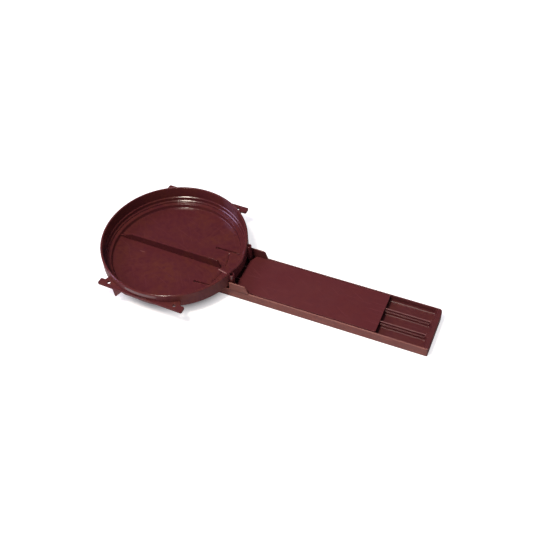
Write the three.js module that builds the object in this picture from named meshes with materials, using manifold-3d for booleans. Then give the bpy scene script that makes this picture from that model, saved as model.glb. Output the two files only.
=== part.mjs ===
import * as THREE from 'three';
import { mergeVertices } from 'three/addons/utils/BufferGeometryUtils.js';
import Module from 'manifold-3d';

// A hive entrance feeder: a round syrup dish that plugs down on the inner end of a long
// flat tray. The tray goes into the hive entrance, and a loose plate covers its troughs.
// Sizes are in millimetres. Heights run up from the underside of the tray, and lengths
// along the arm run from the upright axis of the dish.

// Fits that the pieces share
const runningGap = 0.3;
const weldDepth = 0.5;
const cutOverrun = 1;

// Smoothness of the round forms
const dishFlats = 72;
const sleeveFlats = 20;
const pegFlats = 12;
const curveFlats = 4;

// Dish: wall and lip
const dishRadius = 65;
const rimHeight = 27;
const lipWall = 1.8;
const lipDraft = 0.2;
const wallFoot = 13.3;
const footWidth = 2.7;
const footChamfer = 2;
const footFlat = 63.4;
const dipHeight = 25.4;

// Dish: the stepped ledges, from the top down. The jar stands on the lowest and widest.
const upperLedgeHeight = 16;
const upperLedgeWidth = 0.9;
const middleLedgeHeight = 12.4;
const middleLedgeWidth = 1.1;
const jarLedgeHeight = 10.6;
const jarLedgeWidth = 2.6;
const ledgeDraft = 0.2;
const ledgeThickness = 1.5;
const riserDraft = 0.8;

// Dish: pan
const panUnderside = 5.5;
const floorThickness = 1.5;
const panWall = 1.5;
const skirtDraft = 0.3;

// Dish: divider across the floor, along the arm. Its ends and corners are set back from
// the edge of the floor.
const dividerThickness = 1.4;
const dividerSetback = 9.7;
const dividerTopSetback = 15.2;
const tongueLength = 3.3;
const shoulderSetback = 12.4;
const tongueRise = 2.7;
const shoulderRise = 7.5;
const crestRise = 9.3;

// Dish: slits and outlets in the floor near the arm
const slitMargin = 0.1;
const outletSetback = 10.4;
const outletWidth = 1.4;
const outletInset = 3;
const outletMargin = 2.4;

// Dish: the two strap plates, their fingers, holes and teeth. Each plate is set a little
// along the dish, the far one towards the arm and the near one away from it.
const strapHalfLength = 41;
const strapShift = 1.5;
const fingerLength = 4.5;
const fingerWidth = 6.4;
const fingerRound = 1.4;
const strapUnderside = 17.3;
const strapThickness = 2.1;
const strapHoleSetback = 9;
const strapHoleInset = 4.5;
const strapHoleRadius = 1.5;
const toothSetback = 15;
const toothWidth = 6.8;
const toothLean = 1.1;
const toothDepth = 8.6;
const toothThickness = 1.6;

// Dish: sleeves that slip over the pegs of the tray
const sleeveStandOff = 0.87;
const sleeveInset = 4.5;
const sleeveRadius = 2.4;
const boreRadius = 1.2;
const sleeveTop = 24.9;

// Tray: the long arm
const trayWidth = 44;
const trayHeight = 10;
const trayWall = 1.3;
const trayOverlap = 35.5;
const trayReach = 238;
const tipRound = 2;
const troughFloor = 3.7;
const troughRound = 1.6;
const endStrip = 3.4;
const endSlope = 1.6;

// Tray: the two ribs that part the troughs and carry the cover
const ribOffset = 7.1;
const ridgeWidth = 1.2;
const plinthWidth = 3.8;
const plinthHeight = 6.2;

// Tray: ears beside the dish wall, with tabs and pegs that hold the dish
const earHeight = 18;
const earLength = 15;
const earLean = 2.4;
const earRound = 3.2;
const tabLength = 4.2;
const tabWall = 1;
const tabProud = 1;
const bossRadius = 2.5;
const pegDrop = 3;

// Cover plate
const coverThickness = 1;
const coverStandOff = 1.3;
const coverEnd = 192.9;
const coverCornerLength = 3.7;
const coverCornerWidth = 6.9;
const coverRound = 1;

// Places and sizes that follow from the ones above
const lipInner = dishRadius - lipWall;
const upperWallInner = lipInner - lipDraft;
const upperLedgeInner = upperWallInner - upperLedgeWidth;
const middleWallInner = upperLedgeInner - ledgeDraft;
const middleLedgeInner = middleWallInner - middleLedgeWidth;
const lowerWallInner = middleLedgeInner - ledgeDraft;
const jarLedgeInner = lowerWallInner - jarLedgeWidth;
const floorRadius = jarLedgeInner - riserDraft;
const floorHeight = panUnderside + floorThickness;
const panRadius = floorRadius + panWall;
const skirtRadius = panRadius + skirtDraft;
const skirtTop = jarLedgeHeight - ledgeThickness;
const footInner = dishRadius - footWidth;
const footHeel = footInner - footChamfer;
const heelTop = skirtTop + footChamfer;
const dividerStart = floorRadius + weldDepth;
const dividerEnd = floorRadius - dividerSetback;
const dividerTopEnd = floorRadius - dividerTopSetback;
const tongueEnd = floorRadius - tongueLength;
const shoulderStart = floorRadius - shoulderSetback;
const outletRadius = floorRadius - outletSetback;
const strapRoot = strapHalfLength - fingerLength;
const strapArc = dishRadius - lipWall / 2;
const strapHoleX = strapHalfLength - strapHoleSetback;
const toothStart = strapHalfLength - toothSetback;
const sleeveY = trayWidth / 2 - sleeveInset;
const sleeveX = Math.sqrt((dishRadius + sleeveStandOff) ** 2 - sleeveY ** 2);
const trayStart = dishRadius - trayOverlap;
const earEnd = dishRadius + earLength;
const earShoulder = earEnd - earLean;
const coverStart = dishRadius + coverStandOff;
const trayHalf = trayWidth / 2;
const troughHalf = trayHalf - trayWall;
const tabLine = troughHalf + tabWall / 2;
const slitWidth = tabWall + 2 * runningGap;
const slitFarSide = tabLine + slitWidth / 2;
const outletReach = tabLine - slitWidth / 2 - outletMargin;
const slitOuter = Math.sqrt(floorRadius ** 2 - slitFarSide ** 2) - slitMargin;
const tabStart = slitOuter - runningGap - tabLength;
const coverTop = trayHeight;
const coverUnderside = coverTop - coverThickness;
const ridgeHeight = coverUnderside - runningGap;
const coverHalf = troughHalf - runningGap;
const pegRadius = boreRadius - runningGap;
const bossTop = wallFoot - runningGap;
const frameShift = (dishRadius - trayReach) / 2;

// The inside of the dish below its upright wall, from the top ledge in to the axis
const steps = [
  [upperWallInner, upperLedgeHeight],
  [upperLedgeInner, upperLedgeHeight],
  [middleWallInner, middleLedgeHeight],
  [middleLedgeInner, middleLedgeHeight],
  [lowerWallInner, jarLedgeHeight],
  [jarLedgeInner, jarLedgeHeight],
  [floorRadius, floorHeight],
  [0, floorHeight],
];

const wasm = await Module();
wasm.setup();

// A closed three.js geometry as a solid: only its positions are kept, and the triangles
// that a lathe squeezes to nothing on its axis are left out.
function solid(geometry) {
  const bare = geometry.clone();
  bare.deleteAttribute('normal');
  bare.deleteAttribute('uv');
  const merged = mergeVertices(bare);
  const corners = merged.index.array;
  const kept = [];
  for (let i = 0; i < corners.length; i += 3) {
    const [a, b, c] = [corners[i], corners[i + 1], corners[i + 2]];
    if (a !== b && b !== c && c !== a) kept.push(a, b, c);
  }
  const mesh = new wasm.Mesh({
    numProp: 3,
    vertProperties: new Float32Array(merged.attributes.position.array),
    triVerts: new Uint32Array(kept),
  });
  return new wasm.Manifold(mesh);
}

// The solid's triangles as a named mesh with its own finish.
function piece(name, body, color, roughness) {
  const mesh = body.getMesh();
  const geometry = new THREE.BufferGeometry();
  const positions = new THREE.BufferAttribute(new Float32Array(mesh.vertProperties), mesh.numProp);
  geometry.setAttribute('position', positions);
  geometry.setIndex(new THREE.BufferAttribute(new Uint32Array(mesh.triVerts), 1));
  geometry.computeVertexNormals();
  const finish = new THREE.MeshStandardMaterial({ color, roughness, metalness: 0 });
  const result = new THREE.Mesh(geometry, finish);
  result.name = name;
  return result;
}

// An outline from corners [x, y, radius]: a corner with a radius is rounded by a curve
// that leaves and meets its two edges one radius from the corner.
function outline(corners) {
  const shape = new THREE.Shape();
  corners.forEach(([x, y, radius = 0], i) => {
    const corner = new THREE.Vector2(x, y);
    const [xBefore, yBefore] = corners.at(i - 1);
    const [xAfter, yAfter] = corners[(i + 1) % corners.length];
    const before = new THREE.Vector2(xBefore - x, yBefore - y).normalize();
    const after = new THREE.Vector2(xAfter - x, yAfter - y).normalize();
    const start = corner.clone().addScaledVector(before, radius);
    const end = corner.clone().addScaledVector(after, radius);
    if (i === 0) shape.moveTo(start.x, start.y);
    else shape.lineTo(start.x, start.y);
    if (radius > 0) shape.quadraticCurveTo(corner.x, corner.y, end.x, end.y);
  });
  return shape;
}

// A plan outline raised from one height to another.
function raised(shape, bottom, top) {
  const options = { depth: top - bottom, bevelEnabled: false, curveSegments: curveFlats };
  return solid(new THREE.ExtrudeGeometry(shape, options).translate(0, 0, bottom));
}

// A side outline of [length, height] carried across the arm, from y = near to y = far.
function across(shape, near, far) {
  const options = { depth: far - near, bevelEnabled: false, curveSegments: curveFlats };
  const geometry = new THREE.ExtrudeGeometry(shape, options);
  return solid(geometry.rotateX(Math.PI / 2).translate(0, far, 0));
}

// A section of [y, height] carried along the arm, from x = start to x = end.
function along(shape, start, end) {
  const options = { depth: end - start, bevelEnabled: false, curveSegments: curveFlats };
  const turn = new THREE.Matrix4().makeBasis(
    new THREE.Vector3(0, 1, 0),
    new THREE.Vector3(0, 0, 1),
    new THREE.Vector3(1, 0, 0),
  );
  const geometry = new THREE.ExtrudeGeometry(shape, options).applyMatrix4(turn);
  return solid(geometry.translate(start, 0, 0));
}

// A profile of [radius, height] turned round the upright axis of the dish.
function turned(profile) {
  const points = profile.map(([radius, height]) => new THREE.Vector2(radius, height));
  return solid(new THREE.LatheGeometry(points, dishFlats).rotateX(Math.PI / 2));
}

function block(x0, x1, y0, y1, z0, z1) {
  const box = new THREE.BoxGeometry(x1 - x0, y1 - y0, z1 - z0);
  return solid(box.translate((x0 + x1) / 2, (y0 + y1) / 2, (z0 + z1) / 2));
}

function upright(x, y, radius, bottom, top, flats) {
  const rod = new THREE.CylinderGeometry(radius, radius, top - bottom, flats);
  return solid(rod.rotateX(Math.PI / 2).translate(x, y, (bottom + top) / 2));
}

// The dish's turned section: flat pan, three ledges and an upright wall with a round lip.
function dishShell() {
  const lip = [];
  for (let i = 0; i <= curveFlats * 2; i += 1) {
    const angle = (Math.PI * i) / (curveFlats * 2);
    const radius = dishRadius - lipWall / 2 + (lipWall / 2) * Math.cos(angle);
    lip.push([radius, rimHeight - lipWall / 2 + (lipWall / 2) * Math.sin(angle)]);
  }
  return turned([
    [0, panUnderside],
    [panRadius, panUnderside],
    [skirtRadius, skirtTop],
    [footHeel, skirtTop],
    [footInner, heelTop],
    [footInner, wallFoot],
    [dishRadius, wallFoot],
    ...lip,
    ...steps,
  ]);
}

// The space that the dish takes, with the running gap round its underside and wall. It
// is cut from the tray, so the tray's walls stop just short of the dish.
function dishEnvelope() {
  return turned([
    [0, panUnderside - runningGap],
    [panRadius + runningGap, panUnderside - runningGap],
    [skirtRadius + runningGap, skirtTop - runningGap],
    [footHeel + runningGap / 2, skirtTop - runningGap],
    [footInner + runningGap, heelTop - runningGap / 2],
    [footInner + runningGap, wallFoot - runningGap],
    [dishRadius + runningGap, wallFoot - runningGap],
    [dishRadius + runningGap, rimHeight],
    [0, rimHeight],
  ]);
}

// The strap plate on the +Y side: a web from the round wall out to a straight edge that
// touches the dish, with a finger and a hole at each end and a tooth under it. It is made
// about its own middle and then set along the dish.
function strapPlate() {
  const fingerInner = dishRadius - fingerWidth;
  const wallY = Math.sqrt(strapArc ** 2 - (strapRoot + strapShift) ** 2);
  const plan = outline([
    [strapHalfLength, dishRadius, fingerRound],
    [-strapHalfLength, dishRadius, fingerRound],
    [-strapHalfLength, fingerInner, fingerRound],
    [-strapRoot, fingerInner, fingerRound],
    [-strapRoot, wallY],
    [strapRoot, wallY],
    [strapRoot, fingerInner, fingerRound],
    [strapHalfLength, fingerInner, fingerRound],
  ]);
  const top = strapUnderside + strapThickness;
  let plate = raised(plan, strapUnderside, top).add(tooth());
  for (const end of [-1, 1]) {
    const [below, above] = [strapUnderside - cutOverrun, top + cutOverrun];
    const holeY = dishRadius - strapHoleInset;
    plate = plate.subtract(upright(end * strapHoleX, holeY, strapHoleRadius, below, above, pegFlats));
  }
  return plate.translate([strapShift, 0, 0]);
}

// The hooked tooth under the plate: a narrow upright blade in the plane of its edge.
function tooth() {
  const side = outline([
    [toothStart, strapUnderside + weldDepth],
    [toothStart - toothWidth, strapUnderside + weldDepth],
    [toothStart - toothWidth, strapUnderside],
    [toothStart - toothLean, strapUnderside - toothDepth],
  ]);
  return across(side, dishRadius - toothThickness, dishRadius);
}

// The hollow of the dish above its ledges, cut back out of whatever was added to the wall.
function dishHollow() {
  return turned([...steps.toReversed(), [lipInner, rimHeight], [0, rimHeight]]);
}

function divider() {
  const side = outline([
    [-dividerStart, floorHeight - weldDepth],
    [dividerEnd, floorHeight - weldDepth],
    [dividerEnd, floorHeight],
    [dividerTopEnd, floorHeight + crestRise],
    [-shoulderStart, floorHeight + shoulderRise],
    [-tongueEnd, floorHeight + tongueRise],
    [-dividerStart, floorHeight + tongueRise],
  ]);
  return across(side, -dividerThickness / 2, dividerThickness / 2);
}

// One outlet slot on the +Y side of the divider: an arc round the dish's axis.
function outletSlot() {
  const inner = outletRadius - outletWidth / 2;
  const outer = outletRadius + outletWidth / 2;
  const first = Math.asin(outletInset / outletRadius);
  const last = Math.asin(outletReach / outletRadius);
  const plan = new THREE.Shape();
  plan.absarc(0, 0, outer, first, last, false);
  plan.absarc(0, 0, inner, last, first, true);
  return raised(plan, panUnderside - cutOverrun, floorHeight + cutOverrun);
}

function mirrorY(body) {
  return body.mirror([0, 1, 0]);
}

// The body turned half a turn about the axis of the dish.
function opposite(body) {
  return mirrorY(body.mirror([1, 0, 0]));
}

function dish() {
  const plate = strapPlate();
  const beyond = dishRadius + cutOverrun;
  const flat = block(-strapRoot, strapRoot, footFlat, beyond, skirtTop, strapUnderside);
  let body = dishShell().subtract(flat).subtract(mirrorY(flat));
  body = body.add(plate.subtract(dishHollow()));
  body = body.add(opposite(plate).subtract(dishHollow()));
  body = body.add(divider());
  for (const side of [-1, 1]) {
    const y = side * sleeveY;
    const sleeve = upright(sleeveX, y, sleeveRadius, wallFoot, sleeveTop, sleeveFlats);
    body = body.add(sleeve.subtract(dishHollow()));
    body = body.subtract(
      upright(sleeveX, y, boreRadius, wallFoot - cutOverrun, sleeveTop + cutOverrun, pegFlats),
    );
    const slitNear = side * tabLine - slitWidth / 2;
    const slitFar = side * tabLine + slitWidth / 2;
    const slitTop = floorHeight + tabProud;
    body = body.subtract(
      block(trayStart, slitOuter, slitNear, slitFar, panUnderside - cutOverrun, slitTop),
    );
  }
  const outlet = outletSlot();
  body = body.subtract(outlet).subtract(mirrorY(outlet));
  const dipHalf = sleeveY - boreRadius;
  const dip = block(floorRadius, beyond, -dipHalf, dipHalf, dipHeight, rimHeight + cutOverrun);
  return body.subtract(dip);
}

// The troughs: the section between the side walls above the floor, the plinths and the
// ridges, ended by an upright face at the dish end and a slope at the tip.
function troughs() {
  const rib = (offset) => [
    [offset - plinthWidth / 2, troughFloor, troughRound],
    [offset - plinthWidth / 2, plinthHeight],
    [offset - ridgeWidth / 2, plinthHeight],
    [offset - ridgeWidth / 2, ridgeHeight],
    [offset + ridgeWidth / 2, ridgeHeight],
    [offset + ridgeWidth / 2, plinthHeight],
    [offset + plinthWidth / 2, plinthHeight],
    [offset + plinthWidth / 2, troughFloor, troughRound],
  ];
  const section = outline([
    [-troughHalf, trayHeight + cutOverrun],
    [-troughHalf, troughFloor, troughRound],
    ...rib(-ribOffset),
    ...rib(ribOffset),
    [troughHalf, troughFloor, troughRound],
    [troughHalf, trayHeight + cutOverrun],
  ]);
  const stripStart = trayReach - endStrip;
  const side = outline([
    [trayStart + trayWall, 0],
    [stripStart - endSlope, 0],
    [stripStart - endSlope, troughFloor, troughRound],
    [stripStart, trayHeight],
    [stripStart, trayHeight + cutOverrun * 2],
    [trayStart + trayWall, trayHeight + cutOverrun * 2],
  ]);
  return along(section, trayStart, trayReach).intersect(across(side, -trayHalf, trayHalf));
}

function tray() {
  const plan = outline([
    [trayStart, -trayHalf],
    [trayReach, -trayHalf, tipRound],
    [trayReach, trayHalf, tipRound],
    [trayStart, trayHalf],
  ]);
  const ear = outline([
    [panRadius, trayHeight - weldDepth],
    [earEnd, trayHeight - weldDepth],
    [earEnd, trayHeight],
    [earShoulder, earHeight, earRound],
    [panRadius, earHeight],
  ]);
  let body = raised(plan, 0, trayHeight);
  body = body.add(across(ear, troughHalf, trayHalf)).add(across(ear, -trayHalf, -troughHalf));
  body = body.subtract(troughs());
  for (const side of [-1, 1]) {
    const y = side * sleeveY;
    body = body.add(upright(sleeveX, y, bossRadius, troughFloor - weldDepth, bossTop, sleeveFlats));
  }
  body = body.subtract(dishEnvelope());
  for (const side of [-1, 1]) {
    const y = side * sleeveY;
    body = body.add(upright(sleeveX, y, pegRadius, bossTop - weldDepth, sleeveTop - pegDrop, pegFlats));
    const tabNear = side * tabLine - tabWall / 2;
    const tabFar = side * tabLine + tabWall / 2;
    const tabFoot = panUnderside - runningGap - weldDepth;
    body = body.add(
      block(tabStart, tabStart + tabLength, tabNear, tabFar, tabFoot, floorHeight + tabProud),
    );
  }
  return body;
}

function cover() {
  const plan = outline([
    [coverStart, coverCornerWidth - coverHalf],
    [coverStart + coverCornerLength, -coverHalf],
    [coverEnd, -coverHalf, coverRound],
    [coverEnd, coverHalf, coverRound],
    [coverStart + coverCornerLength, coverHalf],
    [coverStart, coverHalf - coverCornerWidth],
  ]);
  return raised(plan, coverUnderside, coverTop);
}

const feeder = new THREE.Group();
feeder.position.x = frameShift;
feeder.add(piece('dish', dish(), 0x5a2420, 0.3));
feeder.add(piece('tray', tray(), 0x6b342c, 0.35));
feeder.add(piece('cover_plate', cover(), 0x5c2826, 0.5));

export default feeder;
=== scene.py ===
import math

import bmesh
import bpy
import numpy as np
from mathutils import Matrix, Vector


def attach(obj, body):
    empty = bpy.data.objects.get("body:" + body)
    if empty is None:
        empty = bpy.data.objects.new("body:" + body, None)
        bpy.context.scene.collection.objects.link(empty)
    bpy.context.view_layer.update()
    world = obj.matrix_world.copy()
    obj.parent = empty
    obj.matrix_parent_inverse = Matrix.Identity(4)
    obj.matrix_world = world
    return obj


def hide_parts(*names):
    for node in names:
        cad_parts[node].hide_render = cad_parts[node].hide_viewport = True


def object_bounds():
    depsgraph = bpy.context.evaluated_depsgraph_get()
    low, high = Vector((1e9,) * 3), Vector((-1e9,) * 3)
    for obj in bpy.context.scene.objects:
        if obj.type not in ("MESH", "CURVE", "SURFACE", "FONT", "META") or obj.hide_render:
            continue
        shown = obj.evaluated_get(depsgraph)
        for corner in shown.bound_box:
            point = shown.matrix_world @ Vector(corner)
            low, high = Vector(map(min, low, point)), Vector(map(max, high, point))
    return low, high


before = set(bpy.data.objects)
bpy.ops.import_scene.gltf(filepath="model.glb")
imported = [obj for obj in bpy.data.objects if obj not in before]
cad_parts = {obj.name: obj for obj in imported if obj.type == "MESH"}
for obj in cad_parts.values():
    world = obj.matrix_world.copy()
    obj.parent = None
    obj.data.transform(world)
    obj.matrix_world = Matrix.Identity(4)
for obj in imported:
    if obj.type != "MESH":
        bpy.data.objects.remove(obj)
cad_low, cad_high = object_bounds()

# Camera
# A hand-held view from beyond the arm's tip on the near side: 50 degrees down, turned to the
# left by 26 degrees and rolled by 3.6 degrees. Its place is in metres in the frame of the CAD.
yaw, pitch, roll = -0.448172, 0.865552, -0.062176
camera_place = Vector((0.215113, -0.437207, 0.592690))
ahead = Vector((math.sin(yaw) * math.cos(pitch), math.cos(yaw) * math.cos(pitch), -math.sin(pitch)))
level_right = Vector((math.cos(yaw), -math.sin(yaw), 0))
level_up = level_right.cross(ahead)
image_right = math.cos(roll) * level_right + math.sin(roll) * level_up
image_up = math.cos(roll) * level_up - math.sin(roll) * level_right

camera_data = bpy.data.cameras.new("camera")
camera_data.sensor_width = 36
camera_data.lens = 58.541
camera_data.clip_start, camera_data.clip_end = 0.01, 20
camera = bpy.data.objects.new("camera", camera_data)
turn = Matrix((image_right, image_up, -ahead)).transposed().to_4x4()
camera.matrix_world = Matrix.Translation(camera_place) @ turn
bpy.context.collection.objects.link(camera)
bpy.context.scene.camera = camera
bpy.context.scene.view_settings.view_transform = "Standard"


# White paper
# A large sheet of white paper that the feeder lies on. Its own glow makes it white to the
# camera and pale in reflections, fades out under the dish, and leaves the feeder's shadow.
def outlet(node, name=None):
    """The node's first live output, or the live one of that name."""
    return next(socket for socket in node.outputs if socket.enabled and name in (None, socket.name))


def shade(tree, kind, inputs, **settings):
    """A shader node with its settings; each input is given a value or the node or socket that feeds it."""
    node = tree.nodes.new("ShaderNode" + kind)
    for name, value in settings.items():
        setattr(node, name, value)
    for name, value in inputs.items():
        live = [socket for socket in node.inputs if socket.enabled]
        socket = live[name] if isinstance(name, int) else next(s for s in live if s.name == name)
        if isinstance(value, bpy.types.Node):
            value = outlet(value)
        if isinstance(value, bpy.types.NodeSocket):
            tree.links.new(value, socket)
        else:
            socket.default_value = value
    return node


def times(tree, first, second):
    """A node that gives the product of two values."""
    return shade(tree, "Math", {0: first, 1: second}, operation="MULTIPLY")


def most(tree, first, second):
    """A node that gives the larger of two values."""
    return shade(tree, "Math", {0: first, 1: second}, operation="MAXIMUM")


def sight(tree):
    """Two masks of the light path: 1 for camera rays, and 1 for glossy and clear rays."""
    path = shade(tree, "LightPath", {})
    mirror_like = most(tree, outlet(path, "Is Glossy Ray"), outlet(path, "Is Transmission Ray"))
    return outlet(path, "Is Camera Ray"), mirror_like


dish_radius = 0.065
axis_x = cad_low.x + dish_radius
paper_reach = 6
paper_white = (0.8, 0.8, 0.8, 1)
camera_glow, mirror_glow = 0.7, 0.25
glow_starts, glow_full = 0.05, 0.066

paper_corners = np.array([(-1, -1, 0), (1, -1, 0), (1, 1, 0), (-1, 1, 0)]) * paper_reach
paper_mesh = bpy.data.meshes.new("white_paper")
paper_mesh.from_pydata(paper_corners.tolist(), [], [(0, 1, 2, 3)])
paper = bpy.data.objects.new("white_paper", paper_mesh)
bpy.context.collection.objects.link(paper)

paper_finish = bpy.data.materials.new("white_paper")
paper_finish.use_nodes = True
tree = paper_finish.node_tree
tree.nodes.clear()
seen, mirrored = sight(tree)
glow = most(tree, times(tree, seen, camera_glow), times(tree, mirrored, mirror_glow))
paper_place = outlet(shade(tree, "TexCoord", {}), "Object")
from_dish = shade(tree, "VectorMath", {0: paper_place, 1: (axis_x, 0, 0)}, operation="DISTANCE")
beyond_dish = shade(tree, "MapRange", {
    "Value": from_dish, "From Min": glow_starts, "From Max": glow_full,
}, interpolation_type="SMOOTHSTEP")
paper_face = shade(tree, "BsdfDiffuse", {"Color": paper_white})
paper_glow = shade(tree, "Emission", {"Strength": times(tree, glow, beyond_dish)})
paper_sum = shade(tree, "AddShader", {0: paper_face, 1: paper_glow})
shade(tree, "OutputMaterial", {"Surface": paper_sum})
paper_mesh.materials.append(paper_finish)

# Room
# A pale room round the paper: white to the camera, brighter from the left than from the right,
# and to reflections white at the horizon and nearly dark above, like an unlit ceiling.
room = bpy.data.worlds.new("pale_room")
bpy.context.scene.world = room
room.use_nodes = True
tree = room.node_tree
tree.nodes.clear()
seen, mirrored = sight(tree)
direction = outlet(shade(tree, "TexCoord", {}), "Generated")
toward = shade(tree, "SeparateXYZ", {0: direction})
reflected = shade(tree, "MapRange", {
    "Value": outlet(toward, "Z"), "From Min": 0.02, "From Max": 0.22, "To Min": 1.0, "To Max": 0.03,
}, interpolation_type="SMOOTHSTEP")
from_side = shade(tree, "MapRange", {
    "Value": outlet(toward, "X"), "From Min": -1.0, "To Min": 0.4, "To Max": 0.12,
})
soft_or_mirror = shade(tree, "Mix", {"Factor": mirrored, "A": from_side, "B": reflected})
room_level = shade(tree, "Mix", {"Factor": seen, "A": soft_or_mirror, "B": 1.0})
room_tint = shade(tree, "Mix", {
    "Factor": seen, "A": (1.0, 0.96, 1.22, 1), "B": (1, 1, 1, 1),
}, data_type="RGBA")
room_light = shade(tree, "Background", {"Color": room_tint, "Strength": room_level})
shade(tree, "OutputWorld", {"Surface": room_light})


# Lamps
# A warm lamp hangs overhead, a little to the front. A violet window shines from high on the
# left, and a wide, low window in front lights the sides that face the camera.
def softbox(name, direction, distance, width, depth, power, tint):
    """A rectangular lamp that faces the feeder from a direction, in metres and watts."""
    data = bpy.data.lights.new(name, "AREA")
    data.shape = "RECTANGLE"
    data.size, data.size_y = width, depth
    data.energy = power
    data.color = tint
    lamp = bpy.data.objects.new(name, data)
    lamp.location = Vector(direction).normalized() * distance
    lamp.rotation_mode = "QUATERNION"
    lamp.rotation_quaternion = (-lamp.location).to_track_quat("-Z", "Y")
    bpy.context.collection.objects.link(lamp)


softbox(
    "ceiling_lamp", direction=(-0.17, -0.31, 0.93), distance=1.15,
    width=0.26, depth=0.26, power=9.0, tint=(1.0, 0.89, 0.77),
)
softbox(
    "left_window", direction=(-0.76, -0.1, 0.66), distance=1.3,
    width=0.42, depth=0.42, power=3.6, tint=(0.78, 0.6, 1.0),
)
softbox(
    "front_window", direction=(-0.5, -0.85, 0.1), distance=1.2,
    width=1.4, depth=0.15, power=2.7, tint=(1.0, 0.92, 0.84),
)


# dish: bowl
# The round bowl that holds the syrup: one injection moulding in dark red-brown plastic. Its
# wall steps out in three ledges that carry an upturned jar, then rises to a rounded rim, and
# a skirt below lets it stand over the wall of the arm. Slits and outlets pierce the floor.
def new_piece(name, points, faces):
    """An object of that name from point rows and face tuples; faces turn outward, shading is smooth."""
    mesh = bpy.data.meshes.new(name)
    mesh.from_pydata(np.asarray(points, float).tolist(), [], faces)
    mesh.validate()
    tidy = bmesh.new()
    tidy.from_mesh(mesh)
    bmesh.ops.remove_doubles(tidy, verts=tidy.verts, dist=1e-7)
    bmesh.ops.recalc_face_normals(tidy, faces=tidy.faces)
    tidy.to_mesh(mesh)
    tidy.free()
    mesh.shade_smooth()
    piece = bpy.data.objects.new(name, mesh)
    bpy.context.collection.objects.link(piece)
    return piece


def softened(corners, radii, arc_points=5, support=0.35):
    """Points along a closed (a, b) outline whose corners are turned into arcs of the given radii.

    Each arc runs between the tangent points at radius / tan(corner angle / 2) from its corner.
    A support point stands a further support * radius along each side, where there is room,
    so that smooth shading keeps the flats between the arcs flat. A radius of 0 keeps a corner.
    """
    corners = np.asarray(corners, float)
    radii = np.broadcast_to(np.asarray(radii, float), len(corners))
    before = np.roll(corners, 1, 0) - corners
    after = np.roll(corners, -1, 0) - corners
    before_length = np.linalg.norm(before, axis=1)
    after_length = np.linalg.norm(after, axis=1)
    before = before / before_length[:, None]
    after = after / after_length[:, None]
    half = np.arccos(np.clip((before * after).sum(1), -1, 1)) / 2
    reach = np.minimum(radii / np.tan(half), 0.42 * np.minimum(before_length, after_length))
    radius = reach * np.tan(half)
    middle = before + after
    middle = middle / np.maximum(np.linalg.norm(middle, axis=1), 1e-12)[:, None]
    centre = corners + middle * (radius / np.sin(half))[:, None]
    rows = []
    for i in range(len(corners)):
        if radii[i] == 0:
            rows.append(corners[i:i + 1])
            continue
        start = corners[i] + before[i] * reach[i] - centre[i]
        end = corners[i] + after[i] * reach[i] - centre[i]
        sweep = np.arctan2(start[0] * end[1] - start[1] * end[0], start @ end)
        angles = np.linspace(0, sweep, arc_points)
        arc = centre[i] + np.stack([
            start[0] * np.cos(angles) - start[1] * np.sin(angles),
            start[0] * np.sin(angles) + start[1] * np.cos(angles),
        ], 1)
        lead = min(support * radius[i], 0.06 * before_length[i])
        tail = min(support * radius[i], 0.06 * after_length[i])
        rows.append(np.vstack([arc[:1] + before[i] * lead, arc, arc[-1:] + after[i] * tail]))
    points = np.vstack(rows)
    step = np.linalg.norm(points - np.roll(points, 1, 0), axis=1)
    return points[step > 1e-3 * step.max() / len(points)]


def grid_faces(rows, columns, wrap_rows=False):
    """Quads of a grid of points, stored row after row: each row is a closed ring, the rows where asked."""
    a, b = np.meshgrid(np.arange(rows if wrap_rows else rows - 1), np.arange(columns), indexing="ij")
    row, next_row = a * columns, (a + 1) % rows * columns
    next_b = (b + 1) % columns
    quads = np.stack([row + b, row + next_b, next_row + next_b, next_row + b], -1)
    return [tuple(quad) for quad in quads.reshape(-1, 4).tolist()]


def capped_faces(rows, columns):
    """The quads of a stack of closed rings, and one face that closes each end of the stack."""
    last = (rows - 1) * columns
    return grid_faces(rows, columns) + [tuple(range(columns)), tuple(range(last, last + columns))]


def stacked(rings, heights):
    """Point rows of a stack of (x, y) rings, each at its own height."""
    levels = np.broadcast_to(heights[:, None, None], rings.shape[:2] + (1,))
    return np.concatenate([rings, levels], -1).reshape(-1, 3)


def turned(profile, segments, place):
    """Points and faces of an (r, z) profile turned about the upright axis through place.

    x = place.x + r cos t, y = place.y + r sin t. Profile points on the axis close as poles.
    """
    profile = np.asarray(profile, float)
    angles = np.arange(segments) * (2 * np.pi / segments)
    radius, height = profile[:, 0, None], profile[:, 1, None]
    points = np.stack([
        place[0] + radius * np.cos(angles), place[1] + radius * np.sin(angles), height + 0 * angles,
    ], -1).reshape(-1, 3)
    return points, grid_faces(len(profile), segments)


def cut_away(piece, cutter):
    """Takes the closed body of cutter out of piece and removes the cutter."""
    step = piece.modifiers.new("cut", "BOOLEAN")
    step.operation = "DIFFERENCE"
    step.solver = "EXACT"
    step.object = cutter
    graph = bpy.context.evaluated_depsgraph_get()
    mesh = bpy.data.meshes.new_from_object(piece.evaluated_get(graph))
    piece.modifiers.clear()
    piece.data = mesh
    bpy.data.objects.remove(cutter)


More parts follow.
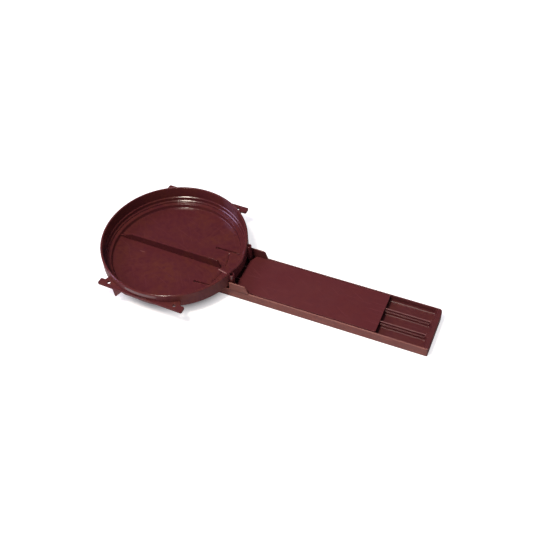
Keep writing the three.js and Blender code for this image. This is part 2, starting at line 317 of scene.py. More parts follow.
def flat_slab(outline, low, high, edge):
    """Points and faces of a plate: an (a, b) outline raised from low to high, edges rounded.

    Each ring of the rounding is the outline moved inward by d = edge (1 - sin s), with the
    mitre (n1 + n2) / (1 + n1 . n2) of the two neighbouring normals.
    """
    outline = np.asarray(outline, float)
    ahead_a, ahead_b = np.roll(outline, -1, 0).T
    if (outline[:, 0] * ahead_b - outline[:, 1] * ahead_a).sum() < 0:
        outline = outline[::-1]
    side = np.roll(outline, -1, 0) - outline
    side = side / np.linalg.norm(side, axis=1)[:, None]
    inward = np.stack([-side[:, 1], side[:, 0]], 1)
    before = np.roll(inward, 1, 0)
    mitre = (inward + before) / (1 + (inward * before).sum(1))[:, None]
    quarter = np.linspace(0, np.pi / 2, 4)
    rising, falling = edge * (1 - np.cos(quarter)), edge * (1 - np.sin(quarter))
    support = 0.4 * edge
    inset = np.concatenate([[edge + support], falling, [0, 0], rising, [edge + support]])
    middle = [low + edge + support, high - edge - support]
    height = np.concatenate([[low], low + rising, middle, high - falling, [high]])
    rings = outline[None] + inset[:, None, None] * mitre[None]
    return stacked(rings, height), capped_faces(len(inset), len(outline))


def noise(tree, place, scale, detail):
    """A noise texture node at a place."""
    return shade(tree, "TexNoise", {"Vector": place, "Scale": scale, "Detail": detail})


def ramp(tree, value, start, end, low=0.0, high=1.0):
    """A node that takes value from start to end evenly from low to high, and holds it outside."""
    return shade(tree, "MapRange", {
        "Value": value, "From Min": start, "From Max": end, "To Min": low, "To Max": high,
    })


def blend(tree, share, under, over):
    """A node that gives the colour under, with a share of the colour over."""
    return shade(tree, "Mix", {"Factor": share, "A": under, "B": over}, data_type="RGBA")


def open_group(name, inputs, outputs):
    """A new node group: its tree, the outputs of its entry node and the inputs of its exit node."""
    tree = bpy.data.node_groups.new(name, "ShaderNodeTree")
    for label, kind in inputs.items():
        tree.interface.new_socket(name=label, in_out="INPUT", socket_type="NodeSocket" + kind)
    for label, kind in outputs.items():
        tree.interface.new_socket(name=label, in_out="OUTPUT", socket_type="NodeSocket" + kind)
    return tree, tree.nodes.new("NodeGroupInput").outputs, tree.nodes.new("NodeGroupOutput").inputs


# Resin that flowed in the mould: clouds of a warmer tint and small darker flecks.
resin_flow, enter, leave = open_group(
    "resin_flow",
    {
        "Place": "Vector", "Clouds": "Float", "Share": "Float",
        "Main": "Color", "Warm": "Color", "Deep": "Color",
    },
    {"Color": "Color"},
)
cloud = noise(resin_flow, enter["Place"], enter["Clouds"], 3.0)
warm = ramp(resin_flow, cloud, 0.45, 0.72, high=enter["Share"])
fleck = noise(resin_flow, enter["Place"], 260.0, 2.0)
deep = ramp(resin_flow, fleck, 0.42, 0.7, high=enter["Share"])
warmed = blend(resin_flow, warm, enter["Main"], enter["Warm"])
flecked = blend(resin_flow, deep, warmed, enter["Deep"])
resin_flow.links.new(outlet(flecked), leave["Color"])

# The skin that the mould leaves: patches of sleeker and duller surface, and a fine ripple.
mould_skin, enter, leave = open_group(
    "mould_skin",
    {"Place": "Vector", "Ripple": "Float", "Sleek": "Float", "Dull": "Float"},
    {"Roughness": "Float", "Height": "Float"},
)
patch = noise(mould_skin, enter["Place"], 55.0, 3.0)
gloss = ramp(mould_skin, patch, 0.35, 0.65, enter["Sleek"], enter["Dull"])
ripple = noise(mould_skin, enter["Place"], enter["Ripple"], 2.0)
mould_skin.links.new(outlet(gloss), leave["Roughness"])
mould_skin.links.new(outlet(ripple), leave["Height"])

# Hairlines from handling: noise drawn out long and thin, at two slants, cut off to its crests.
hairlines, enter, leave = open_group(
    "hairlines", {"Place": "Vector", "Slant": "Float", "Rubbed": "Float"}, {"Mask": "Float"},
)
crests = []
for lean in (0.0, 0.55):
    slant = shade(hairlines, "Math", {0: enter["Slant"], 1: lean}, operation="ADD")
    swung = shade(hairlines, "VectorRotate", {
        "Vector": enter["Place"], "Angle": slant,
    }, rotation_type="Z_AXIS")
    drawn = shade(hairlines, "VectorMath", {0: swung, 1: (36.0, 1300.0, 400.0)}, operation="MULTIPLY")
    crests.append(ramp(hairlines, noise(hairlines, drawn, 1.0, 1.0), 0.66, 0.74))
mask = times(hairlines, most(hairlines, *crests), enter["Rubbed"])
hairlines.links.new(outlet(mask), leave["Mask"])


def moulded_plastic(name, main, warm, deep, clouds, share, sleek, dull, ripple, slant, wear_and_painted_highlight, specular):
    """A moulded plastic from the three groups.

    Gives the material, its shader, the place socket, and its colour and gloss nodes.
    """
    material = bpy.data.materials.new(name)
    material.use_nodes = True
    tree = material.node_tree
    shader = tree.nodes["Principled BSDF"]
    shader.inputs["Specular IOR Level"].default_value = specular
    place = outlet(shade(tree, "TexCoord", {}), "Object")
    tint = shade(tree, "Group", {
        "Place": place, "Clouds": clouds, "Share": share,
        "Main": (*main, 1), "Warm": (*warm, 1), "Deep": (*deep, 1),
    }, node_tree=resin_flow)
    skin = shade(tree, "Group", {
        "Place": place, "Ripple": ripple, "Sleek": sleek, "Dull": dull,
    }, node_tree=mould_skin)
    marks = shade(tree, "Group", {"Place": place, "Slant": slant, "Rubbed": wear_and_painted_highlight}, node_tree=hairlines)
    pale = (main[0] * 1.9, main[1] * 2.4, main[2] * 2.4, 1)
    colour = blend(tree, marks, tint, pale)
    gloss = shade(tree, "Math", {
        0: marks, 1: 0.25, 2: outlet(skin, "Roughness"),
    }, operation="MULTIPLY_ADD")
    bump = shade(tree, "Bump", {"Strength": 0.12, "Distance": 0.0004, "Height": outlet(skin, "Height")})
    tree.links.new(outlet(colour), shader.inputs["Base Color"])
    tree.links.new(outlet(gloss), shader.inputs["Roughness"])
    tree.links.new(outlet(bump), shader.inputs["Normal"])
    return material, shader, place, colour, gloss


def finished(piece, body, materials, outer=None):
    """Gives a piece its materials and its body; outer gives each face's material number."""
    for material in materials:
        piece.data.materials.append(material)
    if outer is not None:
        piece.data.polygons.foreach_set("material_index", outer.astype(np.int32))
    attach(piece, body)


def face_middles(piece):
    """The middle of every face of a piece, as one array."""
    middles = np.empty(len(piece.data.polygons) * 3)
    piece.data.polygons.foreach_get("center", middles)
    return middles.reshape(-1, 3)


mm = 0.001
crease = math.radians(38)
floor_level, floor_underside = 7.0 * mm, 5.5 * mm
bowl_segments = 360

# The bowl's section from the floor, up the ledges, over the rim and back below.
bowl_corners = np.array([
    (57.2, 7.1), (58.0, 10.5), (60.6, 10.7), (60.8, 12.0), (61.9, 12.6), (62.1, 15.7),
    (63.0, 16.2), (63.2, 27.0), (64.15, 27.0), (65.0, 26.5), (65.0, 13.3), (62.3, 13.3), (62.3, 11.1),
    (60.3, 9.1), (59.0, 9.1), (58.7, 5.5), (30.0, 5.5), (30.0, 7.0),
]) * mm
bowl_radii = np.array([
    1.1, 0.4, 0.3, 0.25, 0.3, 0.25, 0.3, 0.6, 0.4, 0.45, 0.35, 0.3, 0.3, 0.3, 0.3, 0.6, 0, 0,
]) * mm
wall_section = softened(bowl_corners, bowl_radii)[:-2]
floor_rings = np.array([6, 14, 22, 30, 38, 44, 49, 53]) * mm
floor_top = np.stack([floor_rings, 0 * floor_rings + floor_level], 1)
floor_under = np.stack([floor_rings[::-1], 0 * floor_rings + floor_underside], 1)
bowl_profile = np.vstack([
    [(0, floor_level)], floor_top, wall_section, floor_under, [(0, floor_underside)],
])
bowl_points, bowl_faces = turned(bowl_profile, bowl_segments, (axis_x, 0))

# The rim dips in a soft curve between the sleeves.
local_x, local_y = bowl_points[:, 0] - axis_x, bowl_points[:, 1]
dip_half, dip_depth = 18 * mm, 4.0 * mm
dip = np.where(np.abs(local_y) < dip_half, 0.5 + 0.5 * np.cos(np.pi * local_y / dip_half), 0)
in_rim = np.hypot(local_x, local_y) > 62.5 * mm
rim_share = np.clip((bowl_points[:, 2] - 17 * mm) / (8 * mm), 0, 1) * in_rim
bowl_points[:, 2] -= dip_depth * dip * rim_share * (local_x > 0)

# The foot is cut flat under each plate, further in at each lower step.
foot_low, foot_high, foot_half = 9.05 * mm, 17.3 * mm, 38 * mm
flat_heights = np.array([9.0, 10.4, 10.8, 12.3, 12.8, 15.9, 16.4]) * mm
flat_reach = np.array([59.2, 59.2, 61.3, 61.3, 62.6, 62.6, 63.4]) * mm
height = bowl_points[:, 2]
limit = np.interp(height, flat_heights, flat_reach)
in_foot = (height > foot_low) & (height < foot_high) & (np.abs(local_x) < foot_half)
flat = in_foot & (np.abs(local_y) > limit)
bowl_points[flat, 1] = np.sign(local_y[flat]) * limit[flat]
bowl = new_piece("dish_bowl", bowl_points, bowl_faces)

# What the mould puts on the bowl sits a little round from the line of the arm.
mould_turn = math.radians(-1.3)


def turned_round(points, angle=mould_turn):
    """The points turned by angle about the dish's axis: x' = x cos a - y sin a, y' = x sin a + y cos a."""
    points = np.array(points, float)
    x, y = points[:, 0] - axis_x, points[:, 1].copy()
    points[:, 0] = axis_x + x * np.cos(angle) - y * np.sin(angle)
    points[:, 1] = x * np.sin(angle) + y * np.cos(angle)
    return points


def slot_cutter(path, half_width, flare, depth):
    """A closed body along an (x, y) path through the floor, half_width to each side.

    Both ends are half rounds, with points one half width round the ends of the path. Over
    the last depth below the floor's top the slot widens evenly by flare to each side.
    """
    path = np.asarray(path, float)
    run = np.gradient(path, axis=0)
    run = run / np.linalg.norm(run, axis=1)[:, None]
    side = np.stack([-run[:, 1], run[:, 0]], 1)
    fan = np.linspace(0, np.pi, 9)[1:-1, None]
    last_cap = np.cos(fan) * side[-1] + np.sin(fan) * run[-1]
    first_cap = -np.cos(fan) * side[0] - np.sin(fan) * run[0]
    outward = np.vstack([side, last_cap, -side[::-1], first_cap])
    cap_points = len(fan)
    home = np.vstack([
        path, np.repeat(path[-1:], cap_points, 0), path[::-1], np.repeat(path[:1], cap_points, 0),
    ])
    widths = half_width + flare * np.array([0, 0, 1, 2])
    heights = np.array([4 * mm, floor_level - depth, floor_level, floor_level + depth])
    rings = home[None] + widths[:, None, None] * outward[None]
    return new_piece("cutter", stacked(rings, heights), capped_faces(len(heights), len(home)))


# The slits, which the arm's tabs stand in, sit a little to the near side of the arm's line.
# The outlets are fine grooves along one circle, between the slits.
slits = {"far": [(30.6, 19.3), (53.6, 19.9)], "near": [(28.9, -22.9), (52.0, -22.1)]}
outlet_radius, outlet_first, outlet_last = 47, 3.7, 17.3
for name, hand in (("far", 1), ("near", -1)):
    start, end = np.array(slits[name]) * mm
    slit = start + (end - start) * np.linspace(0, 1, 9)[:, None] + (axis_x, 0)
    cut_away(bowl, slot_cutter(slit, half_width=0.75 * mm, flare=0.3 * mm, depth=0.4 * mm))
    spread = np.linspace(np.arcsin(outlet_first / outlet_radius), np.arcsin(outlet_last / outlet_radius), 15)
    arc = outlet_radius * mm * np.stack([np.cos(spread), hand * np.sin(spread)], 1) + (axis_x, 0)
    groove = slot_cutter(turned_round(arc), half_width=0.1 * mm, flare=0.55 * mm, depth=0.4 * mm)
    cut_away(bowl, groove)
bowl.data.set_sharp_from_angle(angle=crease)

# Inside, the bowl has the gloss of a polished mould.
dish_plastic = [(0.11, 0.024, 0.026), (0.138, 0.037, 0.023), (0.09, 0.018, 0.026)]
bowl_inside, shader, place, colour, gloss = moulded_plastic(
    "dish_inside", *dish_plastic, clouds=50, share=0.6, sleek=0.08, dull=0.16, ripple=330,
    slant=0.4, wear_and_painted_highlight=0.25, specular=0.4,
)
tree = bowl_inside.node_tree

# Scuffs fan out over its floor: noise on spokes from the middle, which a slower noise sways.
from_middle = shade(tree, "VectorMath", {0: place, 1: (axis_x, 0, 0)}, operation="SUBTRACT")
parts = shade(tree, "SeparateXYZ", {0: from_middle})
flat_place = shade(tree, "CombineXYZ", {"X": outlet(parts, "X"), "Y": outlet(parts, "Y")})
aim = shade(tree, "VectorMath", {0: flat_place}, operation="NORMALIZE")
spokes = shade(tree, "VectorMath", {0: aim, "Scale": 19.0}, operation="SCALE")
reach = shade(tree, "VectorMath", {0: flat_place}, operation="LENGTH")
lift = shade(tree, "CombineXYZ", {"Z": times(tree, reach, 34.0)})
sway = noise(tree, place, 30.0, 1.0)
swayed = shade(tree, "VectorMath", {0: outlet(sway, "Color"), "Scale": 9.0}, operation="SCALE")
straight_fan = shade(tree, "VectorMath", {0: spokes, 1: lift}, operation="ADD")
fan = shade(tree, "VectorMath", {0: straight_fan, 1: swayed}, operation="ADD")
streaks = noise(tree, fan, 1.0, 1.5)

# They keep to worn patches of the floor, away from its middle, some darker and some paler.
on_floor = ramp(tree, outlet(parts, "Z"), 7.4 * mm, 7.1 * mm)
off_middle = ramp(tree, reach, 12 * mm, 34 * mm)
patchy = ramp(tree, noise(tree, place, 42.0, 2.0), 0.44, 0.58)
scuffed = times(tree, times(tree, on_floor, off_middle), patchy)
dark_share = times(tree, ramp(tree, streaks, 0.46, 0.32, high=0.5), scuffed)
pale_share = times(tree, ramp(tree, streaks, 0.56, 0.72, high=0.3), scuffed)
streaked = blend(tree, dark_share, colour, (0.082, 0.015, 0.021, 1))
streaked = blend(tree, pale_share, streaked, (0.145, 0.037, 0.036, 1))

# One small pale nick near the middle.
nick_place = (-0.0303, -0.0086, 0.007)
from_nick = shade(tree, "VectorMath", {0: from_middle, 1: nick_place}, operation="SUBTRACT")
nick_form = shade(tree, "VectorMath", {0: from_nick, 1: (300.0, 1800.0, 900.0)}, operation="MULTIPLY")
nick_reach = shade(tree, "VectorMath", {0: nick_form}, operation="LENGTH")
nick = ramp(tree, nick_reach, 1.0, 0.6, high=0.6)
nicked = blend(tree, nick, streaked, (0.24, 0.09, 0.08, 1))
tree.links.new(outlet(nicked), shader.inputs["Base Color"])
streak_gloss = shade(tree, "Math", {0: pale_share, 1: 0.16, 2: gloss}, operation="MULTIPLY_ADD")
tree.links.new(outlet(streak_gloss), shader.inputs["Roughness"])

# Outside, the mould was left dull.
bowl_outside = moulded_plastic(
    "dish_outside", *dish_plastic, clouds=60, share=0.6, sleek=0.42, dull=0.56, ripple=420,
    slant=0.1, wear_and_painted_highlight=0.3, specular=0.15,
)[0]
middle = face_middles(bowl)
outside = (np.hypot(middle[:, 0] - axis_x, middle[:, 1]) > 64.6 * mm) | (middle[:, 2] < 5.6 * mm)
finished(bowl, "dish", [bowl_inside, bowl_outside], outside)
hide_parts("dish")

# dish: divider
# A thin rib moulded across the floor, in line with the arm and in one with the dish. It stands
# highest and ends steeply near the arm, and falls to a low tongue at the other wall.
divider_side = softened(np.array([
    (-57.7, 6.6), (44.4, 6.6), (44.2, 7.2), (42.0, 16.3), (-44.8, 14.5), (-53.9, 9.7), (-57.7, 9.7),
]) * mm, np.array([0, 0, 0, 1.2, 1.6, 1.2, 0.8]) * mm, support=0)
divider_half, divider_edge, divider_rise, draft_share = 0.7 * mm, 0.28 * mm, 9 * mm, 0.14
divider_points, divider_faces = flat_slab(divider_side, -divider_half, divider_half, divider_edge)
divider_points = np.stack([divider_points[:, 0] + axis_x, divider_points[:, 2], divider_points[:, 1]], 1)
draft = 1 - draft_share * np.clip((divider_points[:, 2] - floor_level) / divider_rise, 0, 1)
divider_points[:, 1] *= draft
divider = new_piece("dish_divider", turned_round(divider_points), divider_faces)
divider.data.set_sharp_from_angle(angle=crease)
finished(divider, "dish", [bowl_inside])

# dish: ridge and dot on the floor
# Where the divider ends, a short low ridge runs on to the wall, and beside the far outlet
# stands a small round dot, both moulded in one with the floor; their pale colour is painted highlight.
ridge_start, ridge_end = np.array([(42.8, -3.2), (52.4, -5.4)]) * mm
ridge_length = np.linalg.norm(ridge_end - ridge_start)
ridge_run = (ridge_end - ridge_start) / ridge_length
ridge_side = np.array([-ridge_run[1], ridge_run[0]])
ridge_form = softened(np.array([
    (-0.65, 6.8), (0.4, 6.8), (0.3, 7.4), (0.1, 7.45), (-0.6, 7.08),
]) * mm, np.array([0, 0, 0.15, 0.15, 0]) * mm, support=0)
ridge_points, ridge_faces = flat_slab(ridge_form, 0, ridge_length, 0.05 * mm)
ridge_plan = ridge_start + ridge_points[:, 2:] * ridge_run + ridge_points[:, :1] * ridge_side
ridge_points = np.column_stack([ridge_plan + (axis_x, 0), ridge_points[:, 1]])
ridge = new_piece("dish_ridge", ridge_points, ridge_faces)
ridge.data.set_sharp_from_angle(angle=crease)
# The ridge and the dot take a pale copy of the plastic: a painted highlight.
ridge_highlight_plastic = [(0.3, 0.14, 0.13), (0.35, 0.17, 0.15), (0.2, 0.08, 0.08)]
ridge_painted_highlight = moulded_plastic(
    "ridge_painted_highlight", *ridge_highlight_plastic, clouds=150, share=0.8, sleek=0.12, dull=0.25, ripple=600,
    slant=0.0, wear_and_painted_highlight=0.3, specular=0.5,
)[0]
finished(ridge, "dish", [ridge_painted_highlight])

dot_radius, dot_rise, dot_root = 0.7 * mm, 0.5 * mm, 6.8 * mm
dot_place = (axis_x + 44.3 * mm, 16.4 * mm)
dome = np.linspace(0, np.pi / 2, 9)
dome_profile = np.stack([dot_radius * np.cos(dome), floor_level + dot_rise * np.sin(dome)], 1)
dome_profile[-1, 0] = 0
dot_profile = np.vstack([[(0, dot_root), (dot_radius, dot_root)], dome_profile])
dot = new_piece("dish_dot", *turned(dot_profile, 32, dot_place))
finished(dot, "dish", [ridge_painted_highlight])

# dish: strap plates
# Two flat plates stand out from the wall at the sides, each with a rounded finger and a
# small hole at both ends, in one with the dish. A band round the jar can be hooked over them.
plate_low, plate_high, plate_edge = 17.3 * mm, 19.4 * mm, 0.4 * mm
plate_half, plate_root, plate_front, finger_back, plate_inner = 41.0, 36.5, 65.0, 58.6, 64.0
hole_along, hole_out = 32.0 * mm, 60.5 * mm
hole_profile = np.array([(0, 16), (1.5, 16), (1.5, 19.2), (1.75, 19.45), (2.2, 20), (0, 20)]) * mm
plates = {"far": (1, 0.6 * mm, math.radians(-1.3)), "near": (-1, 0.7 * mm, math.radians(-2.1))}


def strap_outline(hand):
    """The (x, y) outline of a plate in metres: straight outer edge, fingers, inner edge on the wall."""
    root_turn = np.arcsin(plate_root / plate_inner)
    spread = np.linspace(root_turn, -root_turn, 41)
    wall = np.stack([plate_inner * np.sin(spread), plate_inner * np.cos(spread)], 1)
    wall[:, 1] = np.minimum(wall[:, 1], plate_front - 0.6)
    outer = softened(np.array([
        (-plate_root, wall[-1, 1]), (-plate_root, finger_back), (-plate_half, finger_back),
        (-plate_half, plate_front), (plate_half, plate_front), (plate_half, finger_back),
        (plate_root, finger_back), (plate_root, wall[0, 1]),
    ]), np.array([0, 0.5, 1.4, 1.4, 1.4, 1.4, 0.5, 0]), support=0)
    return hand * np.vstack([outer[1:-1], wall[1:-1]]) * mm


for name, (hand, aside, plate_turn) in plates.items():
    slab_points, slab_faces = flat_slab(strap_outline(hand), plate_low, plate_high, plate_edge)
    slab_points[:, 0] += axis_x + aside
    plate = new_piece("dish_strap_" + name, turned_round(slab_points, plate_turn), slab_faces)
    for hole_x in (-hole_along, hole_along):
        hole_place = (axis_x + aside + hand * hole_x, hand * hole_out)
        hole_points, hole_faces = turned(hole_profile, 40, hole_place)
        cut_away(plate, new_piece("cutter", turned_round(hole_points, plate_turn), hole_faces))
    plate.data.set_sharp_from_angle(angle=crease)
    finished(plate, "dish", [bowl_outside])

# dish: hooked teeth
# A thin hooked tooth hangs below each plate's straight edge, a wedge that slopes back to a
# narrow point, moulded in one with the plate. A band's other end can be caught on it.
tooth_side = softened(np.array([
    (17.2, 17.9), (26.2, 17.9), (25.3, 8.6), (24.2, 9.1),
]) * mm, np.array([0, 0, 0.5, 0.4]) * mm, support=0)
tooth_inner, tooth_outer, tooth_edge = 63.45 * mm, 64.9 * mm, 0.22 * mm
for hand, name in ((1, "tooth_far"), (-1, "tooth_near")):
    slab_points, slab_faces = flat_slab(tooth_side, tooth_inner, tooth_outer, tooth_edge)
    tooth_points = np.stack([
        axis_x + hand * slab_points[:, 0], hand * slab_points[:, 2], slab_points[:, 1],
    ], 1)
    tooth = new_piece("dish_" + name, turned_round(tooth_points), slab_faces)
    tooth.data.set_sharp_from_angle(angle=crease)
    finished(tooth, "dish", [bowl_outside])

# dish: sleeves
# Two upright tubes on the wall beside the arm, moulded in one with the dish. The pegs of the
# tray stand in them and hold the dish in its place.
sleeve_reach = {"far": 64.1 * mm, "near": 63.5 * mm}
sleeve_aside, sleeve_segments = 17.5 * mm, 64
sleeve_ring = softened(np.array([
    (1.2, 13.35), (2.4, 13.35), (2.35, 24.9), (1.25, 24.9),
]) * mm, np.array([0.2, 0.25, 0.5, 0.3]) * mm)
for hand, name in ((1, "far"), (-1, "near")):
    sleeve_place = (axis_x + sleeve_reach[name], hand * sleeve_aside)
    sleeve_points = turned(sleeve_ring, sleeve_segments, sleeve_place)[0]
    sleeve_faces = grid_faces(len(sleeve_ring), sleeve_segments, wrap_rows=True)
    sleeve = new_piece("dish_sleeve_" + name, sleeve_points, sleeve_faces)
    finished(sleeve, "dish", [bowl_inside])


# tray: body
# The arm that reaches into the hive: one long moulding with three troughs parted by two
# stepped ribs, low side walls, a closed tip, and an inner end hidden under the dish.
def filled(points, longest):
    """The closed outline with extra points, so that no side is longer than longest."""
    rows = []
    for start, end in zip(points, np.roll(points, -1, 0)):
        count = max(1, int(np.ceil(np.linalg.norm(end - start) / longest)))
        rows.append(start + (end - start) * (np.arange(count) / count)[:, None])
    return np.vstack(rows)


def smooth_step(value, low, high):
    """0 below low, 1 above high and a smooth 3t^2 - 2t^3 between them."""
    t = np.clip((value - low) / (high - low), 0, 1)
    return t * t * (3 - 2 * t)


def rounded_in(gap, radius):
    """How far a rounded edge of that radius draws in at a gap from the edge: r - sqrt(r^2 - s^2)."""
    short = np.clip(radius - gap, 0, radius)
    return radius - np.sqrt(radius ** 2 - short ** 2)


tray_half, tray_start, tray_tip_x = 22.0 * mm, 29.5 * mm, 238.0 * mm
trough_floor, tray_height = 3.7 * mm, 10.0 * mm
half_section = np.array([
    (22.0, 0.0), (22.0, 10.0), (20.7, 10.0), (20.5, 3.7), (9.0, 3.7), (9.0, 6.2),
    (7.7, 6.2), (7.7, 8.7), (6.5, 8.7), (6.5, 6.2), (5.2, 6.2), (5.2, 3.7),
])
half_radius = np.array([0.5, 0.95, 0.3, 2.2, 1.3, 0.5, 0.8, 0.5, 0.5, 0.8, 0.5, 1.3])
section_corners = np.vstack([half_section, half_section[::-1] * (-1, 1)]) * mm
section_radius = np.concatenate([half_radius, half_radius[::-1]]) * mm
longest_side = 0.75 * mm
loop = filled(softened(section_corners, section_radius), longest_side)

# The section is swept along the arm, from the inner end to the tip, in steps that are close
# together where the form changes.
stations = np.concatenate([
    [29.5, 29.56, 29.65, 29.8, 30.0, 30.4, 30.65, 30.8, 31.0, 31.3, 31.8, 33.0],
    np.linspace(36, 56, 6), np.linspace(57.0, 67.2, 35), np.linspace(70, 226, 40),
    np.linspace(228, 230, 3), np.linspace(230.5, 235.4, 34), np.linspace(235.6, 238.0, 16),
]) * mm
x, y = np.meshgrid(stations, loop[:, 0], indexing="ij")
z = np.broadcast_to(loop[:, 1], x.shape).copy()
top_side = z > 3.0 * mm

# The troughs end against the tip and the inner end, in walls that are rounded in plan.
trough_outer, rib_outer, rib_inner = 20.55 * mm, 9.0 * mm, 5.2 * mm
side_gap = np.minimum(np.abs(np.abs(y) - trough_outer), np.abs(np.abs(y) - rib_outer))
side_gap = np.where(np.abs(y) < rib_inner, rib_inner - np.abs(y), side_gap)
side_gap = np.where((np.abs(y) > rib_inner) & (np.abs(y) < rib_outer), 0, side_gap)
come_in = rounded_in(side_gap, 2.3 * mm)
wall_rise = tray_height - trough_floor
tip_fill = trough_floor + wall_rise * smooth_step(x + come_in, 232.6 * mm, 234.7 * mm)
inner_fill = trough_floor + wall_rise * smooth_step(-x, -31.3 * mm, -30.6 * mm)
fill = np.maximum(tip_fill, inner_fill)

# Before the end of the cover plate's run the tip's fill stays below the plate.
plate_run, below_plate, between_walls = 234.0 * mm, 8.8 * mm, 21.2 * mm
fill = np.where(x < plate_run, np.minimum(fill, below_plate), fill)
z = np.where(top_side & (np.abs(y) < between_walls), np.maximum(z, fill), z)

# Under the dish the moulding is cut back to the dish's own stepped underside.
step_reach = np.array([0, 59.0, 59.3, 60.45, 62.6, 62.65, 65.3, 65.35]) * mm
step_height = np.array([5.2, 5.2, 8.8, 8.8, 10.95, 13.0, 13.0, 30]) * mm
z = np.where(top_side, np.minimum(z, np.interp(np.hypot(x, y), step_reach, step_height)), z)

# Plan rounding of the outer corners at the tip and rounded edges at both ends.
far_corner, near_corner, end_edge = 3.6 * mm, 1.6 * mm, 0.45 * mm
corner = np.where(y > 0, far_corner, near_corner)
y = np.sign(y) * np.minimum(np.abs(y), tray_half - rounded_in(tray_tip_x - x, corner))
for distance in (tray_tip_x - x, x - tray_start):
    drop = rounded_in(distance, end_edge)
    z = np.where(top_side, z - drop, z + drop)
    y = np.sign(y) * np.minimum(np.abs(y), tray_half - drop)

body_points = np.stack([x + axis_x, y, z], -1).reshape(-1, 3)
tray_body = new_piece("tray_body", body_points, capped_faces(len(stations), len(loop)))
tray_body.data.set_sharp_from_angle(angle=math.radians(40))

# The top is glossy, with flow marks, and the crests of the ribs are paler: a painted highlight.
tray_plastic = [(0.117, 0.028, 0.028), (0.138, 0.038, 0.028), (0.097, 0.021, 0.027)]
tray_top, shader, place, colour, _ = moulded_plastic(
    "tray_top", *tray_plastic, clouds=48, share=0.7, sleek=0.3, dull=0.42, ripple=300,
    slant=0.0, wear_and_painted_highlight=0.25, specular=0.35,
)
tree = tray_top.node_tree
parts = shade(tree, "SeparateXYZ", {0: place})
aside = shade(tree, "Math", {0: outlet(parts, "Y")}, operation="ABSOLUTE")
# Painted highlight: the rib crests, short of the tip, take a paler colour.
on_rib = ramp(tree, aside, 9.2 * mm, 8.8 * mm, high=0.75)
on_crest = ramp(tree, outlet(parts, "Z"), 8.1 * mm, 8.5 * mm)
off_tip = ramp(tree, outlet(parts, "X"), axis_x + 232.6 * mm, axis_x + 231.6 * mm)
crest_highlight = times(tree, times(tree, on_rib, on_crest), off_tip)
wear_and_painted_highlight = blend(tree, crest_highlight, colour, (0.235, 0.095, 0.09, 1))
tree.links.new(outlet(wear_and_painted_highlight), shader.inputs["Base Color"])

# The outer sides take a lighter copy of the arm's plastic, painted light for the light that falls on them,
# with a painted highlight along their upper edges.
tray_side_painted_light_plastic = [(0.17, 0.042, 0.031), (0.2, 0.055, 0.034), (0.135, 0.032, 0.028)]
tray_side_painted_light, shader, place, colour, _ = moulded_plastic(
    "tray_side_painted_light", *tray_side_painted_light_plastic, clouds=60, share=0.6, sleek=0.34, dull=0.5, ripple=380,
    slant=0.0, wear_and_painted_highlight=0.5, specular=0.35,
)
tree = tray_side_painted_light.node_tree
parts = shade(tree, "SeparateXYZ", {0: place})
# Painted highlight along the arm's upper edge, short of the ears, and along the ears' tops.
arm_edge = ramp(tree, outlet(parts, "Z"), 9.0 * mm, 9.7 * mm)
off_ear = ramp(tree, outlet(parts, "X"), axis_x + 79 * mm, axis_x + 81 * mm)
ear_top = ramp(tree, outlet(parts, "Z"), 17.2 * mm, 17.7 * mm)
edge_highlight_share = times(tree, most(tree, times(tree, arm_edge, off_ear), ear_top), 0.7)
wear_and_painted_highlight = blend(tree, edge_highlight_share, colour, (0.33, 0.14, 0.11, 1))
tree.links.new(outlet(wear_and_painted_highlight), shader.inputs["Base Color"])

# The end face of the tip is dull.
tray_tip = moulded_plastic(
    "tray_tip", *tray_plastic, clouds=60, share=0.6, sleek=0.45, dull=0.55, ripple=380,
    slant=0.0, wear_and_painted_highlight=0.3, specular=0.05,
)[0]
middle = face_middles(tray_body)
patch = 1.0 * (np.abs(middle[:, 1]) > 21.25 * mm)
patch[middle[:, 0] > axis_x + 237.6 * mm] = 2
finished(tray_body, "tray", [tray_top, tray_side_painted_light, tray_tip], patch)
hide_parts("tray")

# tray: ears
# Two thin upright cheeks, moulded on the side walls, hug the dish where the arm leaves it.
# Their free corner is rounded and their outer end leans a little.
ear_side = softened(np.array([
    (61.95, 8.6), (80.3, 8.6), (80.0, 10.0), (77.6, 18.0), (61.95, 18.0),
]) * mm, np.array([0, 0, 0.8, 3.2, 0.5]) * mm, arc_points=9, support=0)
ear_inner, ear_edge = 20.7 * mm, 0.4 * mm
for hand, name in ((1, "ear_far"), (-1, "ear_near")):
    slab_points, slab_faces = flat_slab(ear_side, ear_inner, tray_half, ear_edge)
    ear_points = np.stack([slab_points[:, 0] + axis_x, hand * slab_points[:, 2], slab_points[:, 1]], 1)
    ear = new_piece("tray_" + name, ear_points, slab_faces)
    ear.data.set_sharp_from_angle(angle=crease)
    on_outside = np.abs(face_middles(ear)[:, 1]) > 21.35 * mm
    finished(ear, "tray", [tray_top, tray_side_painted_light], on_outside)

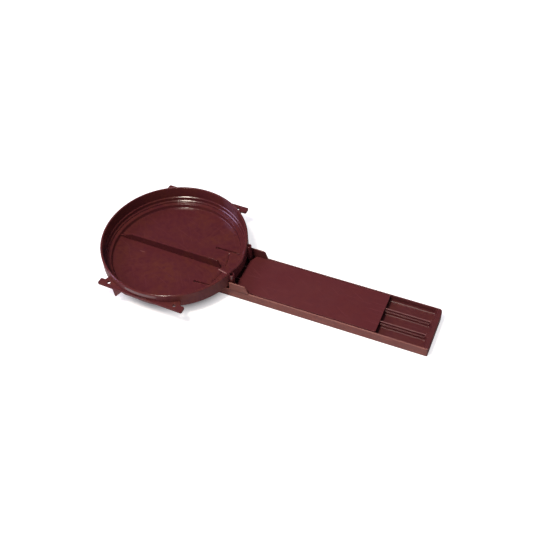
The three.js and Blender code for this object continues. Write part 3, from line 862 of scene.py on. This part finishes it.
# tray: pegs and tabs
# Under the dish, two round bosses with thin pegs plug into the sleeves, and two long upright
# tabs stand in the floor's slits, a little towards the dish's middle. All are one with the tray.
peg_profile = softened(np.array([
    (0, 3.3), (2.5, 3.3), (2.5, 13.0), (0.9, 13.0), (0.85, 21.9), (0, 21.9),
]) * mm, np.array([0, 0, 0.35, 0.25, 0.35, 0]) * mm)
tab_shift, tab_half, tab_edge = 0.2, 0.56 * mm, 0.15 * mm
for hand, side_name in ((1, "far"), (-1, "near")):
    peg_place = (axis_x + sleeve_reach[side_name], hand * sleeve_aside)
    peg = new_piece("tray_peg_" + side_name, *turned(peg_profile, 48, peg_place))
    finished(peg, "tray", [tray_top])
    (slit_start, _), (slit_end, _) = slits[side_name]
    start, end = slit_start - tab_shift, slit_end - tab_shift
    tab_side = softened(np.array([
        (start, 4.6), (end, 4.6), (end, 7.1), (end - 3.6, 7.1), (end - 3.8, 5.6), (start, 5.6),
    ]) * mm, np.array([0, 0, 0.5, 0.5, 0.2, 0.2]) * mm, support=0)
    slab_points, slab_faces = flat_slab(tab_side, -tab_half, tab_half, tab_edge)
    tab_line = np.interp(slab_points[:, 0], *np.transpose(slits[side_name]) * mm)
    tab_points = np.stack([
        slab_points[:, 0] + axis_x, tab_line + hand * slab_points[:, 2], slab_points[:, 1],
    ], 1)
    tab = new_piece("tray_tab_" + side_name, tab_points, slab_faces)
    tab.data.set_sharp_from_angle(angle=crease)
    finished(tab, "tray", [tray_top])

# cover plate
# A flat loose plate, cut from smooth sheet, that lies on the ribs between the side walls.
# Its corners at the dish are cut off at a slant, and its edges are just broken.
cover_outline = softened(np.array([
    (66.3, -13.5), (70.0, -20.4), (192.9, -20.4), (192.9, 20.4), (70.0, 20.4), (66.3, 13.5),
]) * mm, np.array([0.5, 0.8, 1.0, 1.0, 0.8, 0.5]) * mm)
cover_low, cover_edge = 9.0 * mm, 0.16 * mm
cover_points, cover_faces = flat_slab(cover_outline, cover_low, tray_height, cover_edge)
cover_points[:, 0] += axis_x
cover = new_piece("cover_sheet", cover_points, cover_faces)
cover.data.set_sharp_from_angle(angle=crease)
cover_plastic = [(0.125, 0.023, 0.026), (0.137, 0.028, 0.026), (0.112, 0.021, 0.026)]
cover_satin = moulded_plastic(
    "cover_satin", *cover_plastic, clouds=40, share=0.5, sleek=0.4, dull=0.5, ripple=500,
    slant=0.0, wear_and_painted_highlight=0.3, specular=0.3,
)[0]
finished(cover, "cover", [cover_satin])
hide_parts("cover_plate")
